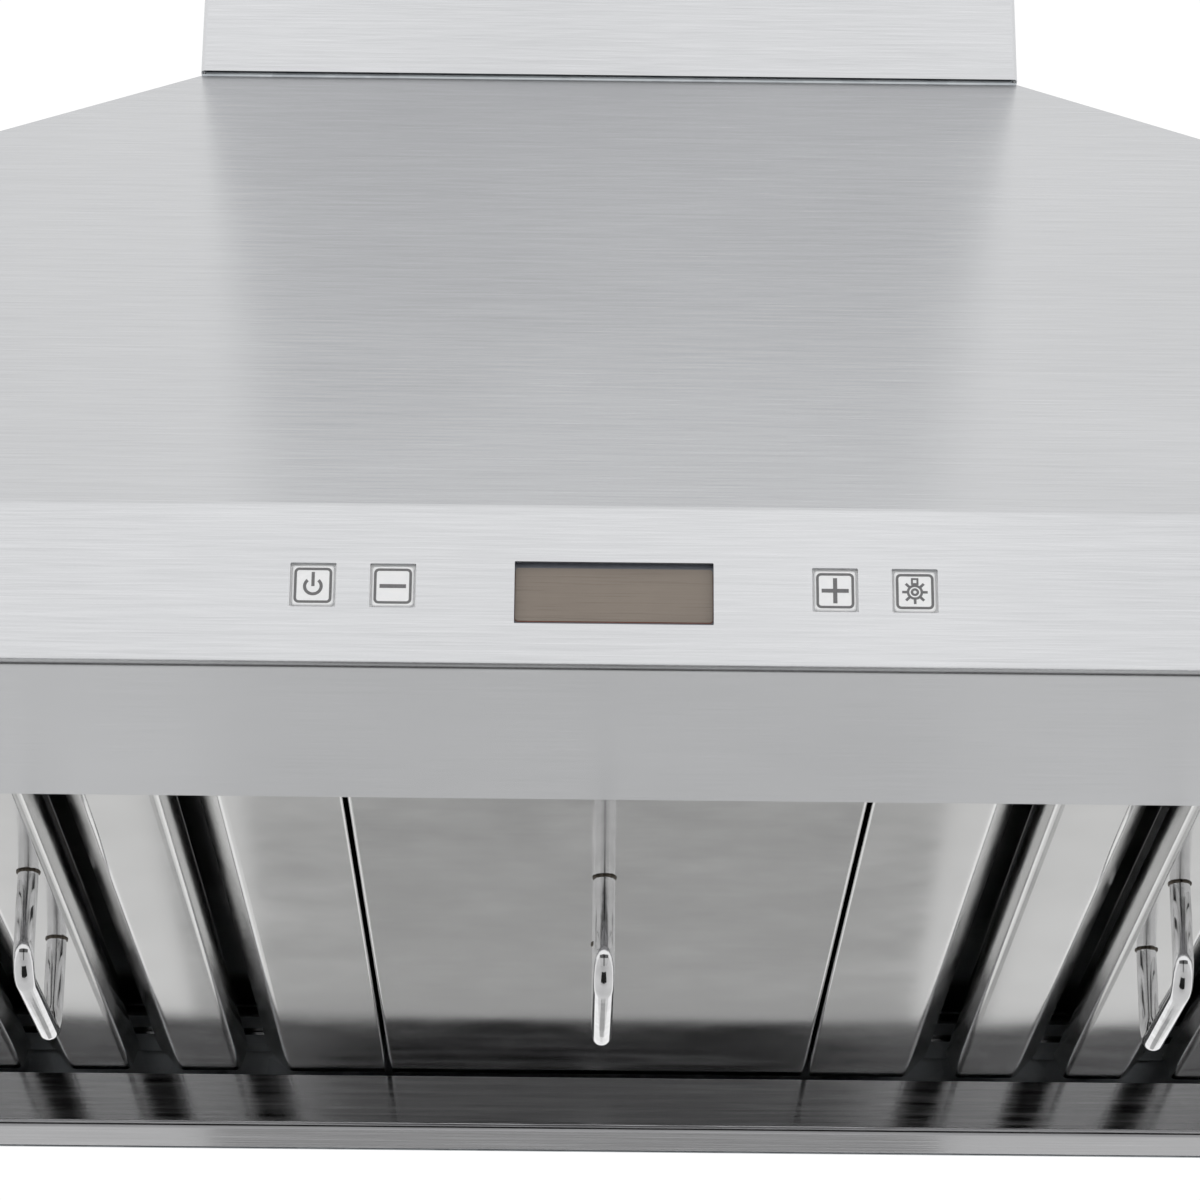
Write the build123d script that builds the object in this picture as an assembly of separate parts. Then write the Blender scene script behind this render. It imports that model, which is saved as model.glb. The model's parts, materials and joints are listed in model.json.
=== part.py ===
"""Wall-mounted range hood: pyramid canopy, telescoping chimney cover, blower, damper and baffle filters.

Frame: +X to the right seen from the front, +Y into the wall, +Z up, in millimetres.
The origin is on the wall plane, on the centre line, at the canopy's bottom edge.
"""

import math
import os

from build123d import *

# ---- driving dimensions -------------------------------------------------------------------------
HOOD_WIDTH = 1200.0
HOOD_DEPTH = 600.0
BAND_HEIGHT = 55.0
LIP_DEPTH = 122.6
CANOPY_HEIGHT = 376.0
CHIMNEY_WIDTH = 337.5
CHIMNEY_DEPTH = 300.0
SKIN = 1.2
BEND = 1.2

CHIMNEY_GAP = 2.6
COVER_LENGTH = 480.0
COVER_SKIN = 1.0
COVER_CLEARANCE = 0.8
UPPER_COVER_BASE = 500.0
RETURN_FLANGE = 15.0
BRACKET_DROP = 30.0
UPSTAND = 18.0
UPSTAND_FOOT = 10.0
CHIMNEY_SCREW_RISE = 9.0
GLAND_PLACE = (140.0, -40.0)

KEY_PITCH = 25.0
KEY_INNER_X = 69.3
KEY_OPENING = (14.4, 14.8)
KEY_SIZE = (13.4, 13.8)
KEY_RECESS = 0.6
KEY_Z = BAND_HEIGHT / 2
DISPLAY_OPENING = (62.4, 20.9)
CUT_CORNER = 0.4
DISPLAY_Z = 25.7
WINDOW_RECESS = 2.4
BOARD_RECESS = 16.0
HOUSING_HALF = 112.0

FILTER_SLOPE = 1.7
FILTER_LENGTH = 437.0
FILTER_REAR_Y = -38.0
FILTER_REAR_Z = 25.5
FILTER_SHEET = 0.8
FILTER_GAP = 3.0
FILTER_WIDTH = 238.6
BAFFLE_FLAT = 21.5
BAFFLE_SLOT = 10.4
LONG_FLANGE = (11.6, 19.0)
SHORT_FLANGE = (4.4, 10.1)
INNER_STRIP = 39.5
UPPER_BAFFLE_TOP = 30.5
FILLER_WIDTH = 182.0
FRAME_BASE = 19.6
FRAME_BAR = 1.2
FRONT_OVERHANG = 18.0
REAR_OVERHANG = 22.0

HANDLE_ROD = 3.5
HANDLE_FRONT = -304.5
HANDLE_REAR = -212.5
HANDLE_DROP = 39.5
HANDLE_BEND = 11.0

GUTTER_WIDTH = 38.0
GUTTER_HEIGHT = 23.7
RAIL_TOP = 31.3
SHELF_TOP = 44.9

LAMP_X = (240.0, 480.0)
LAMP_Y = -538.0
LAMP_HOLE = 30.0

BLOWER_Y = -120.0
BLOWER_Z = 215.0
BLOWER_WIDTH = 220.0
SCROLL_START = 93.0
SCROLL_END = 122.0
TONGUE_ANGLE = 60.0
WHEEL_RADIUS = 85.0
INLET_RADIUS = 70.0
INLET_HOLE = 73.5
SHAFT_RADIUS = 5.0

COLLAR_Y = -158.0
COLLAR_RADIUS = 100.0
COLLAR_HEIGHT = 60.0
DAMPER_Z = 405.0
DAMPER_PIN = 2.5
KNUCKLE_RADIUS = 3.8

WALL_HOLE_X = 280.0
WALL_HOLE_Z = (90.0, 240.0)
WALL_HOLE_RADIUS = 4.5
SCREW_RADIUS = 2.0
POWER_BOX = ((-400.0, -240.0), (-52.0, -SKIN), (95.0, 165.0))

# ---- worked out from them -----------------------------------------------------------------------
HALF_WIDTH = HOOD_WIDTH / 2
HALF_CHIMNEY = CHIMNEY_WIDTH / 2
FRONT_Y = -HOOD_DEPTH
LIP_Y = FRONT_Y + LIP_DEPTH
CHIMNEY_Y = -CHIMNEY_DEPTH
ROOF_TOP = CANOPY_HEIGHT + SKIN
COVER_BASE = CANOPY_HEIGHT + CHIMNEY_GAP
UPPER_COVER_TOP = UPPER_COVER_BASE + COVER_LENGTH
CHIMNEY_SCREW_Z = COVER_BASE + CHIMNEY_SCREW_RISE
BRACKET_Z = UPPER_COVER_TOP - BRACKET_DROP
BAND_BACK = FRONT_Y + SKIN
BOARD_FRONT = FRONT_Y + BOARD_RECESS
BAFFLE_PITCH = BAFFLE_FLAT + SHORT_FLANGE[0] + BAFFLE_SLOT + LONG_FLANGE[0]
OUTER_STRIP = FILTER_WIDTH - INNER_STRIP - 4 * BAFFLE_PITCH + BAFFLE_FLAT
INNER_FILTER_X = FILLER_WIDTH / 2 + FILTER_GAP + FILTER_WIDTH / 2
OUTER_FILTER_X = INNER_FILTER_X + FILTER_WIDTH + FILTER_GAP
RAIL_HALF = HALF_WIDTH - 22.0
KEYS = {
    "button_power": -KEY_INNER_X - KEY_PITCH,
    "button_minus": -KEY_INNER_X,
    "button_plus": KEY_INNER_X,
    "button_light": KEY_INNER_X + KEY_PITCH,
}
FILTERS = {
    "filter_left_outer": -OUTER_FILTER_X,
    "filter_left_inner": -INNER_FILTER_X,
    "filter_right_inner": INNER_FILTER_X,
    "filter_right_outer": OUTER_FILTER_X,
}


# ---- sheet-metal and placing helpers ------------------------------------------------------------
def offset_path(points, distance):
    """The open path moved to its left by distance, with sharp corners."""
    corners = [Vector(*p) for p in points]
    normals = []
    for start, end in zip(corners, corners[1:]):
        along = (end - start).normalized()
        normals.append(Vector(-along.Y, along.X))
    moved = [corners[0] + normals[0] * distance]
    for before, after, corner in zip(normals, normals[1:], corners[1:-1]):
        moved.append(corner + (before + after) * (distance / (1 + before.dot(after))))
    moved.append(corners[-1] + normals[-1] * distance)
    return moved


def turns_left(a, b, c):
    return (b[0] - a[0]) * (c[1] - b[1]) - (b[1] - a[1]) * (c[0] - b[0]) > 0


def folded_sheet(points, thickness=SKIN, bend=BEND):
    """Section of a folded sheet: points run along one side, the metal is to their left."""
    other = offset_path(points, thickness)
    lefts = [turns_left(*three) for three in zip(points, points[1:], points[2:])]
    near = [bend + thickness if left else bend for left in lefts]
    far = [bend if left else bend + thickness for left in lefts]
    outline = [Vector(*p) for p in points] + other[::-1]
    radii = [0.0, *near, 0.0, 0.0, *far[::-1], 0.0]
    return make_face(FilletPolyline(*outline, radius=radii, close=True))


def extrude_x(face, x_from, x_to):
    """Extrude a (Y, Z) section from x_from to x_to."""
    return extrude(Plane.YZ.offset(x_from) * face, amount=x_to - x_from, dir=(1, 0, 0))


def extrude_y(face, y_from, y_to):
    """Extrude an (X, Z) section from y_from to y_to."""
    section = Plane(origin=(0, y_from, 0), x_dir=(1, 0, 0), z_dir=(0, -1, 0)) * face
    return extrude(section, amount=y_to - y_from, dir=(0, 1, 0))


def extrude_z(face, z_from, z_to):
    """Extrude an (X, Y) section from z_from to z_to."""
    return extrude(Plane.XY.offset(z_from) * face, amount=z_to - z_from, dir=(0, 0, 1))


def block(x, y, z):
    """A box from its (low, high) pairs along X, Y and Z."""
    centre = [(low + high) / 2 for low, high in (x, y, z)]
    return Pos(*centre) * Box(*[high - low for low, high in (x, y, z)])


def rod_x(radius, x_from, x_to, y, z):
    """A cylinder along X."""
    return Pos((x_from + x_to) / 2, y, z) * Rot(0, 90, 0) * Cylinder(radius, x_to - x_from)


def rod_y(radius, y_from, y_to, x, z):
    """A cylinder along Y."""
    return Pos(x, (y_from + y_to) / 2, z) * Rot(90, 0, 0) * Cylinder(radius, y_to - y_from)


def rod_z(radius, z_from, z_to, x, y):
    """A cylinder along Z."""
    return Pos(x, y, (z_from + z_to) / 2) * Cylinder(radius, z_to - z_from)


def group(solids):
    return Compound(children=list(solids))


def mirrored(shape):
    """The same piece on the other side of the centre plane."""
    return mirror(shape, about=Plane.YZ)


# ---- canopy -------------------------------------------------------------------------------------
def hip_wedge():
    """The space over the band that the front slope owns, up to the two hip lines seen from above."""
    ahead = FRONT_Y - 50
    plan = Polygon(
        (-HALF_WIDTH, ahead),
        (HALF_WIDTH, ahead),
        (HALF_WIDTH, FRONT_Y),
        (HALF_CHIMNEY, CHIMNEY_Y),
        (-HALF_CHIMNEY, CHIMNEY_Y),
        (-HALF_WIDTH, FRONT_Y),
        align=None,
    )
    return extrude_z(plan, BAND_HEIGHT - 1, CANOPY_HEIGHT + 10)


def canopy_front():
    """Front slope, control band and bottom lip, folded from one sheet."""
    path = [(CHIMNEY_Y, CANOPY_HEIGHT), (FRONT_Y, BAND_HEIGHT), (FRONT_Y, 0), (LIP_Y, 0)]
    sheet = extrude_x(folded_sheet(path), -HALF_WIDTH, HALF_WIDTH)
    below = block((-700, 700), (-700, 0), (-50, BAND_HEIGHT - 1))
    panel = sheet & (hip_wedge() + below)
    through = (FRONT_Y - 5, FRONT_Y + 5)
    for x in KEYS.values():
        panel -= extrude_y(Pos(x, KEY_Z) * RectangleRounded(*KEY_OPENING, CUT_CORNER), *through)
    panel -= extrude_y(Pos(0, DISPLAY_Z) * RectangleRounded(*DISPLAY_OPENING, CUT_CORNER), *through)
    for x in lamp_places():
        panel -= rod_z(LAMP_HOLE, -5, 5, x, LAMP_Y)
    return panel


def canopy_side_left(front):
    """Left slope and band, butted against the front panel, with a bottom flange from lip to gutter."""
    slope = [(-HALF_CHIMNEY, CANOPY_HEIGHT), (-HALF_WIDTH, BAND_HEIGHT)]
    flange_edge = -HALF_WIDTH + 21
    middle = slope + [(-HALF_WIDTH, 0), (flange_edge, 0), (flange_edge, 9)]
    side = extrude_y(folded_sheet(slope + [(-HALF_WIDTH, SKIN)]), FRONT_Y + SKIN, LIP_Y)
    side += extrude_y(folded_sheet(middle), LIP_Y, -GUTTER_WIDTH)
    side += extrude_y(folded_sheet(slope + [(-HALF_WIDTH, 0)]), -GUTTER_WIDTH, 0)
    return side - hip_wedge() - front


def back_panel():
    """Flat back with four wall-screw holes."""
    outside = [(-HALF_CHIMNEY, CANOPY_HEIGHT), (-HALF_WIDTH, BAND_HEIGHT), (-HALF_WIDTH, 0)]
    edge = offset_path(outside, 1.6)
    left = [(p.X, p.Y) for p in edge]
    right = [(-x, z) for x, z in reversed(left)]
    panel = extrude_y(make_face(Polyline(*left, *right, close=True)), -SKIN, 0)
    for x in (-WALL_HOLE_X, WALL_HOLE_X):
        for z in WALL_HOLE_Z:
            panel -= rod_y(WALL_HOLE_RADIUS, -5, 5, x, z)
    return panel


def roof_plate():
    """Top plate with duct and gland holes, and four welded angles that centre the chimney cover."""
    half = HALF_CHIMNEY - 0.5
    plate = block((-half, half), (CHIMNEY_Y + 0.5, 0), (CANOPY_HEIGHT, ROOF_TOP))
    plate -= rod_z(COLLAR_RADIUS - SKIN, CANOPY_HEIGHT - 5, ROOF_TOP + 5, 0, COLLAR_Y)
    plate -= rod_z(8.2, CANOPY_HEIGHT - 5, ROOF_TOP + 5, *GLAND_PLACE)
    side = HALF_CHIMNEY - COVER_SKIN - 1
    front, rear = CHIMNEY_Y + COVER_SKIN + 1, -4.0
    top = ROOF_TOP + UPSTAND
    front_angle = [(front, top), (front, ROOF_TOP), (front + UPSTAND_FOOT, ROOF_TOP)]
    rear_angle = [(rear - UPSTAND_FOOT, ROOF_TOP), (rear, ROOF_TOP), (rear, top)]
    side_angle = [(-side, top), (-side, ROOF_TOP), (UPSTAND_FOOT - side, ROOF_TOP)]
    left = extrude_y(folded_sheet(side_angle), front + UPSTAND_FOOT + 1, rear - UPSTAND_FOOT - 1)
    for x, y in chimney_screw_places():
        left -= rod_x(SCREW_RADIUS + 0.2, x - 6, x + 6, y, CHIMNEY_SCREW_Z)
    crosswise = [extrude_x(folded_sheet(angle), -side, side) for angle in (front_angle, rear_angle)]
    return group([plate, left, mirrored(left), *crosswise])


def front_rail():
    """C rail on the lip that carries the front bars of the filters."""
    back = LIP_Y - 0.8
    path = [(back - 24, SKIN), (back, SKIN), (back, RAIL_TOP), (back - 19, RAIL_TOP)]
    return extrude_x(folded_sheet(path), -RAIL_HALF, RAIL_HALF)


def rear_gutter():
    """Grease gutter along the wall: front wall, floor and a low rear wall, welded along the two folds."""
    fold = 1.6
    path = [(-GUTTER_WIDTH, GUTTER_HEIGHT), (-GUTTER_WIDTH, 0), (-SKIN, 0), (-SKIN, 20)]
    trough = extrude_x(folded_sheet(path, bend=fold), -HALF_WIDTH + SKIN, HALF_WIDTH - SKIN)
    front_weld = -GUTTER_WIDTH + fold + SKIN
    rear_weld = -SKIN - fold - SKIN
    strips = ((-GUTTER_WIDTH - 5, front_weld), (front_weld, rear_weld), (rear_weld, 0))
    return group(trough & block((-HALF_WIDTH, HALF_WIDTH), strip, (-5, 30)) for strip in strips)


def rear_shelf():
    """Angle on the back panel that carries the rear bars of the filters."""
    path = [(-31, SHELF_TOP - SKIN), (-SKIN, SHELF_TOP - SKIN), (-SKIN, SHELF_TOP + 20)]
    return extrude_x(folded_sheet(path), -RAIL_HALF, RAIL_HALF)


# ---- chimney cover ------------------------------------------------------------------------------
def chimney_screw_places():
    return [(side * HALF_CHIMNEY, y) for side in (-1, 1) for y in (-250.0, -50.0)]


def cover_plan(inset):
    """Three-sided cover with two return flanges along the wall, seen from above."""
    x, front, wall = HALF_CHIMNEY - inset, CHIMNEY_Y + inset, -inset
    flange = x - RETURN_FLANGE
    path = [(-flange, wall), (-x, wall), (-x, front), (x, front), (x, wall), (flange, wall)]
    return folded_sheet(path, thickness=COVER_SKIN, bend=0.8)


def chimney_lower():
    cover = extrude_z(cover_plan(0), COVER_BASE, COVER_BASE + COVER_LENGTH)
    for x, y in chimney_screw_places():
        cover -= rod_x(SCREW_RADIUS + 0.2, x - 6, x + 6, y, CHIMNEY_SCREW_Z)
    return cover


def chimney_upper():
    inset = COVER_SKIN + COVER_CLEARANCE
    cover = extrude_z(cover_plan(inset), UPPER_COVER_BASE, UPPER_COVER_TOP)
    for x in (-HALF_CHIMNEY + inset, HALF_CHIMNEY - inset):
        cover -= rod_x(SCREW_RADIUS + 0.2, x - 6, x + 6, -42, BRACKET_Z)
    return cover


def chimney_bracket():
    """Wall strap with two ears that the upper cover is screwed to."""
    ear = HALF_CHIMNEY - 2 * COVER_SKIN - COVER_CLEARANCE - 0.3
    strap = 148.0
    left = [(-strap, 0), (-strap, -22), (-ear, -22), (-ear, -58)]
    right = [(-x, y) for x, y in left[::-1]]
    # The metal lies on the room side of the strap, clear of the wall plane.
    section = folded_sheet(right + left, thickness=1.5, bend=1.0)
    bracket = extrude_z(section, BRACKET_Z - 20, BRACKET_Z + 20)
    for x in (-100, 100):
        bracket -= rod_y(3.0, -5, 5, x, BRACKET_Z)
    for x in (-ear, ear):
        bracket -= rod_x(SCREW_RADIUS + 0.2, x - 4, x + 4, -42, BRACKET_Z)
    return bracket


def side_screws(places, z):
    """Pan-head screws driven inwards along X at (x, y) places on the outer skin."""
    screws = []
    for x, y in places:
        out = 1 if x > 0 else -1
        head = rod_x(4.0, *sorted((x, x + 2.0 * out)), y, z)
        head = fillet(head.faces().sort_by(Axis.X)[-1 if out > 0 else 0].edges(), 1.2)
        screws.append(head + rod_x(SCREW_RADIUS, *sorted((x, x - 7.0 * out)), y, z))
    return group(screws)


# ---- duct collar and damper ---------------------------------------------------------------------
def duct_collar():
    """Round duct collar with a bolted flange and an inner stop ring for the damper flaps."""
    inner = COLLAR_RADIUS - SKIN
    collar = rod_z(COLLAR_RADIUS, ROOF_TOP, ROOF_TOP + COLLAR_HEIGHT, 0, COLLAR_Y)
    collar += rod_z(COLLAR_RADIUS + 15, ROOF_TOP, ROOF_TOP + SKIN, 0, COLLAR_Y)
    collar -= rod_z(inner, ROOF_TOP, ROOF_TOP + COLLAR_HEIGHT, 0, COLLAR_Y)
    stop = rod_z(inner, DAMPER_Z - 2.2, DAMPER_Z - 1.0, 0, COLLAR_Y)
    stop -= rod_z(inner - 7, DAMPER_Z - 3, DAMPER_Z, 0, COLLAR_Y)
    collar += stop
    return collar - rod_x(DAMPER_PIN + 0.05, -120, 120, COLLAR_Y, DAMPER_Z)


def damper_pin():
    """Hinge rod across the collar, peened flush at both ends so that a duct slides over it."""
    reach = COLLAR_RADIUS - 0.2
    return rod_x(DAMPER_PIN, -reach, reach, COLLAR_Y, DAMPER_Z)


def damper_flap(side, knuckles):
    """Half-round flap on its knuckles: side is -1 for the front one and 1 for the rear one."""
    disc = rod_z(COLLAR_RADIUS - SKIN - 2.3, DAMPER_Z - 0.5, DAMPER_Z + 0.5, 0, COLLAR_Y)
    reach = sorted((COLLAR_Y + side * 4.6, COLLAR_Y + side * 100))
    flap = disc & block((-100, 100), reach, (DAMPER_Z - 1, DAMPER_Z + 1))
    for x in knuckles:
        flap += rod_x(KNUCKLE_RADIUS, *x, COLLAR_Y, DAMPER_Z)
        tab = sorted((COLLAR_Y + side * 2.9, COLLAR_Y + side * 5))
        flap += block(x, tab, (DAMPER_Z - 0.5, DAMPER_Z + 0.5))
    return flap - rod_x(DAMPER_PIN + 0.07, -120, 120, COLLAR_Y, DAMPER_Z)


# ---- blower -------------------------------------------------------------------------------------
def scroll_outline(inset, top):
    """Scroll section in (Y, Z): a growing spiral from the tongue round to the outlet wall."""
    points = []
    for step in range(9):
        turned = 30.0 * step
        radius = SCROLL_START + (SCROLL_END - SCROLL_START) * turned / 240 - inset
        angle = math.radians(TONGUE_ANGLE - turned)
        points.append((BLOWER_Y + radius * math.cos(angle), BLOWER_Z + radius * math.sin(angle)))
    first, last = points[0], points[-1]
    outlet = Polyline(last, (last[0], top), (first[0], top), first)
    return make_face([Spline(*points), *outlet.edges()])


def blower_housing():
    """Sheet-metal scroll, open at the top, with an inlet in each side and a flange under the roof plate."""
    half = BLOWER_WIDTH / 2
    outlet = (BLOWER_Y - SCROLL_END, BLOWER_Y + SCROLL_START * math.cos(math.radians(TONGUE_ANGLE)))
    inside = extrude_x(scroll_outline(SKIN, CANOPY_HEIGHT + 10), -half + SKIN, half - SKIN)
    housing = extrude_x(scroll_outline(0, CANOPY_HEIGHT), -half, half)
    rim = (outlet[0] - 12, outlet[1] + 12)
    housing += block((-half - 12, half + 12), rim, (CANOPY_HEIGHT - SKIN, CANOPY_HEIGHT))
    return housing - inside - rod_x(INLET_HOLE, -130, 130, BLOWER_Y, BLOWER_Z)


def inlet_rings():
    """Flanged inlet rings, one in each side of the scroll."""
    outer = BLOWER_WIDTH / 2 + SKIN
    path = [(outer - 8, INLET_RADIUS - SKIN), (outer, INLET_RADIUS - SKIN), (outer, INLET_RADIUS + 9)]
    section = folded_sheet(path, bend=3.0)
    ring = Pos(0, BLOWER_Y, BLOWER_Z) * revolve(section, axis=Axis.X)
    return group([ring, mirrored(ring)])


def impeller():
    """Double-inlet squirrel-cage wheel: centre disc with a hub, end rings and forward-leaning blades."""
    half = BLOWER_WIDTH / 2 - 22
    blade_depth = 11.0
    wheel = rod_x(WHEEL_RADIUS - 3, -1, 1, 0, 0) + rod_x(13, -12, 18, 0, 0)
    for side in (-1, 1):
        ring = rod_x(WHEEL_RADIUS, *sorted((side * (half - 2), side * half)), 0, 0)
        wheel += ring - rod_x(WHEEL_RADIUS - blade_depth, -half, half, 0, 0)
    blade = block((-half + 1, half - 1), (-blade_depth / 2, blade_depth / 2), (-0.5, 0.5))
    middle = WHEEL_RADIUS - blade_depth / 2 - 0.7
    blades = [Rot(360 * n / 30, 0, 0) * Pos(0, middle, 0) * Rot(22, 0, 0) * blade for n in range(30)]
    wheel += blades
    wheel -= rod_x(SHAFT_RADIUS + 0.02, -20, 20, 0, 0)
    return Pos(0, BLOWER_Y, BLOWER_Z) * wheel


def motor_shaft():
    return rod_x(SHAFT_RADIUS, -14, 116, BLOWER_Y, BLOWER_Z)


def blower_motor():
    """Round motor inside the wheel, with a domed nose and a running bore for the shaft."""
    body = rod_x(42, 34, 112, BLOWER_Y, BLOWER_Z)
    body = fillet(body.edges().filter_by(GeomType.CIRCLE), 5)
    body += rod_x(14, 26, 34, BLOWER_Y, BLOWER_Z)
    for groove in range(5):
        x = 50 + 10 * groove
        ring = rod_x(43, x, x + 2, BLOWER_Y, BLOWER_Z) - rod_x(40.5, x, x + 2, BLOWER_Y, BLOWER_Z)
        body -= ring
    return body - rod_x(SHAFT_RADIUS + 0.05, 0, 130, BLOWER_Y, BLOWER_Z)


def motor_bracket():
    """Three-armed spider that holds the motor to the right side of the scroll."""
    spider = rod_x(46, 112, 114, 0, 0)
    side = BLOWER_WIDTH / 2
    for n in range(3):
        turn = Rot(120 * n + 90, 0, 0)
        spider += turn * block((112, 114), (30, 91), (-7, 7))
        spider += turn * rod_x(4, side, 112, 85, 0)
    spider -= rod_x(SHAFT_RADIUS + 1, 100, 120, 0, 0)
    return Pos(0, BLOWER_Y, BLOWER_Z) * spider


# ---- controls -----------------------------------------------------------------------------------
def key(x):
    """Push key: square cap, a flange that stops behind the band, and a stem to its switch."""
    square = Pos(x, KEY_Z) * RectangleRounded(*KEY_SIZE, 1.3)
    cap = extrude_y(square, FRONT_Y + KEY_RECESS, BAND_BACK + 1.4)
    cap = fillet(cap.faces().sort_by(Axis.Y)[0].edges(), 0.8)
    flange_front = BAND_BACK + 0.3
    cap += extrude_y(Pos(x, KEY_Z) * RectangleRounded(16.4, 16.4, 1), flange_front, flange_front + 1.1)
    return cap + rod_y(2.2, flange_front + 1, BOARD_FRONT - 5.2, x, KEY_Z)


def control_housing():
    """Open-fronted plastic tray behind the band, which holds the board."""
    low, high = KEY_Z - 20, KEY_Z + 20
    front, back = BAND_BACK + 0.2, FRONT_Y + 30
    tray = block((-HOUSING_HALF, HOUSING_HALF), (front, back), (low, high))
    tray -= block((-HOUSING_HALF + 2, HOUSING_HALF - 2), (front, back - 2), (low + 2, high - 2))
    for x in (-HOUSING_HALF + 6, HOUSING_HALF - 6):
        for z in (low + 6, high - 6):
            tray += rod_y(3, BOARD_FRONT + 1.6, back - 1, x, z)
    return tray


def control_board():
    """Circuit board with four tactile switches behind the keys and a cable header."""
    reach = HOUSING_HALF - 2.5
    board = block((-reach, reach), (BOARD_FRONT, BOARD_FRONT + 1.6), (KEY_Z - 17, KEY_Z + 17))
    for x in KEYS.values():
        board += block((x - 3.1, x + 3.1), (BOARD_FRONT - 3, BOARD_FRONT), (KEY_Z - 3.1, KEY_Z + 3.1))
        board += rod_y(1.7, BOARD_FRONT - 3.6, BOARD_FRONT - 3, x, KEY_Z)
    header = block((-12, 12), (BOARD_FRONT + 1.6, BOARD_FRONT + 9), (KEY_Z - 12, KEY_Z - 4))
    return board + header


def display_module():
    """Display block between the board and the window."""
    return block((-34, 34), (FRONT_Y + 4.8, BOARD_FRONT), (DISPLAY_Z - 13, DISPLAY_Z + 13))


def display_window():
    """Tinted window set back behind its opening."""
    front = FRONT_Y + WINDOW_RECESS
    plate = extrude_y(Pos(0, DISPLAY_Z) * RectangleRounded(68, 26, 2), front, front + 2)
    return plate


def lamp_places():
    return sorted([-x for x in LAMP_X] + list(LAMP_X))


def lamp_housing(x):
    """Lamp can with a flanged bezel below the lip and cooling fins on top."""
    can = rod_z(LAMP_HOLE + 4, -1.5, 0, x, LAMP_Y) + rod_z(LAMP_HOLE - 0.5, -0.5, 18, x, LAMP_Y)
    can = fillet(can.faces().sort_by(Axis.Z)[0].edges(), 1.0)
    can -= rod_z(LAMP_HOLE - 3, -3, 16, x, LAMP_Y)
    for fin in range(-3, 4):
        reach = math.sqrt((LAMP_HOLE - 1) ** 2 - (7 * fin) ** 2)
        can += block((x - reach, x + reach), (LAMP_Y + 7 * fin - 0.8, LAMP_Y + 7 * fin + 0.8), (18, 26))
    return can


def lamp_lens(x):
    lens = rod_z(LAMP_HOLE - 3.1, -0.9, 2.5, x, LAMP_Y)
    return fillet(lens.faces().sort_by(Axis.Z)[0].edges(), 0.8)


# ---- electrics ----------------------------------------------------------------------------------
def power_box():
    """Open-fronted steel box on the back panel."""
    x, y, z = POWER_BOX
    box = block(x, y, z)
    return box - block((x[0] + 1, x[1] - 1), (y[0], y[1] - 1), (z[0] + 1, z[1] - 1))


def power_box_lid():
    """Flat lid with a short turned-back edge all round."""
    x, y, z = POWER_BOX
    lid = block((x[0] - 1.5, x[1] + 1.5), (y[0] - 1, y[0] + 8), (z[0] - 1.5, z[1] + 1.5))
    return lid - block((x[0] - 0.3, x[1] + 0.3), (y[0], y[0] + 8), (z[0] - 0.3, z[1] + 0.3))


def cable_gland():
    """Supply cable gland in the roof plate: thread, lock nut below, hexagon body and dome above."""
    x, y = GLAND_PLACE
    gland = rod_z(8, CANOPY_HEIGHT - 9, ROOF_TOP, x, y)
    gland += extrude_z(Pos(x, y) * RegularPolygon(11, 6), CANOPY_HEIGHT - 5, CANOPY_HEIGHT)
    gland += extrude_z(Pos(x, y) * RegularPolygon(12, 6), ROOF_TOP, ROOF_TOP + 8)
    dome = fillet(rod_z(9.5, ROOF_TOP + 8, ROOF_TOP + 20, x, y).edges().sort_by(Axis.Z)[-1], 3.5)
    return gland + dome - rod_z(4, CANOPY_HEIGHT - 20, ROOF_TOP + 30, x, y)


# ---- filters ------------------------------------------------------------------------------------
# Filter pieces are drawn level, with the rear end of the lower face at the origin and the front at -Y,
# and then set down on the sloping filter plane.
def set_in_plane(shape, x):
    return Pos(x, FILTER_REAR_Y, FILTER_REAR_Z) * Rot(FILTER_SLOPE, 0, 0) * shape


# Every baffle has a long flange towards the outside of the hood and a short one towards its centre.
# They are drawn for the left filters, whose outside is -X, and mirrored for the right ones.
def baffle_section(right_corner):
    """One lower channel, from the right corner of its flat face."""
    left_corner = right_corner - BAFFLE_FLAT
    path = [
        (left_corner - LONG_FLANGE[0], LONG_FLANGE[1]),
        (left_corner, 0),
        (right_corner, 0),
        (right_corner + SHORT_FLANGE[0], SHORT_FLANGE[1]),
    ]
    return folded_sheet(path, thickness=FILTER_SHEET, bend=0.8)


def inner_strip_section():
    """Edge strip towards the hood's centre: long flange, flat face and outer wall."""
    edge = FILTER_WIDTH / 2
    corner = edge - INNER_STRIP
    path = [(corner - LONG_FLANGE[0], LONG_FLANGE[1]), (corner, 0), (edge, 0), (edge, FRAME_BASE)]
    return folded_sheet(path, thickness=FILTER_SHEET, bend=0.8)


def outer_strip_section():
    """Edge strip towards the hood's outside: outer wall, flat face and short flange."""
    edge = -FILTER_WIDTH / 2
    corner = edge + OUTER_STRIP
    path = [(edge, FRAME_BASE), (edge, 0), (corner, 0), (corner + SHORT_FLANGE[0], SHORT_FLANGE[1])]
    return folded_sheet(path, thickness=FILTER_SHEET, bend=0.8)


def first_slot():
    """Middle of the slot beside the inner strip."""
    return FILTER_WIDTH / 2 - INNER_STRIP - LONG_FLANGE[0] - BAFFLE_SLOT / 2


def filter_pieces(sections, x):
    """The sections at filter length, set down at x, and mirrored in a right filter."""
    pieces = [extrude_y(section, -FILTER_LENGTH, 0) for section in sections]
    if x > 0:
        pieces = [mirrored(piece) for piece in pieces]
    return group(set_in_plane(piece, x) for piece in pieces)


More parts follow.
